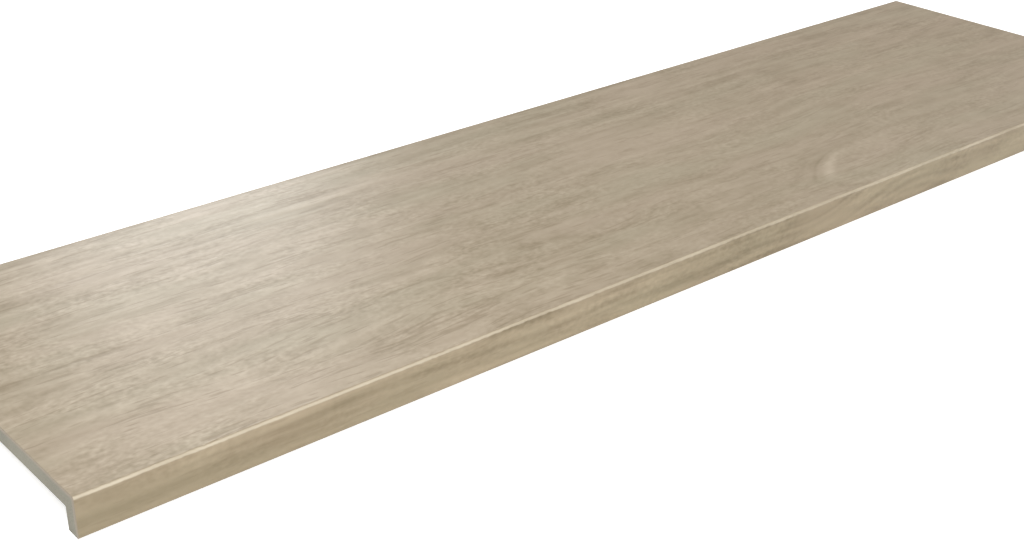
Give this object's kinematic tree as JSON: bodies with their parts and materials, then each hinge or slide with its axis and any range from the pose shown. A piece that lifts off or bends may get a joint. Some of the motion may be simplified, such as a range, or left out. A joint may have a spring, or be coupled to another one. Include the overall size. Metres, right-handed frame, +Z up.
{
  "type": "stair tread",
  "caption": "Wood-effect stoneware stair tread: a flat slab with a square nosing dropped from its front edge, laid on a step to give its walking surface and front.",
  "frame": {"origin": "on the floor, midway along the nosing and under the middle of the tread's depth", "axes": "+X runs along the nosing to the right as seen from the front, +Y from the nosing to the back, +Z up. The tread is stored as it lies unheld, tipped back 3.155 degrees about X on the nosing's heel and the slab's lower back edge; turning it by +3.155 degrees about X levels it as laid"},
  "size_m": [1.2, 0.331, 0.0305],
  "materials": {
    "wood_print_stoneware": "satin glaze over a pale oak print on the walking surface and the nosing's front; bare grey-green body on the ends, the back edge and the underside"
  },
  "bodies": {
    "root": {"stair_tread": "wood_print_stoneware"}
  },
  "joints": []
}
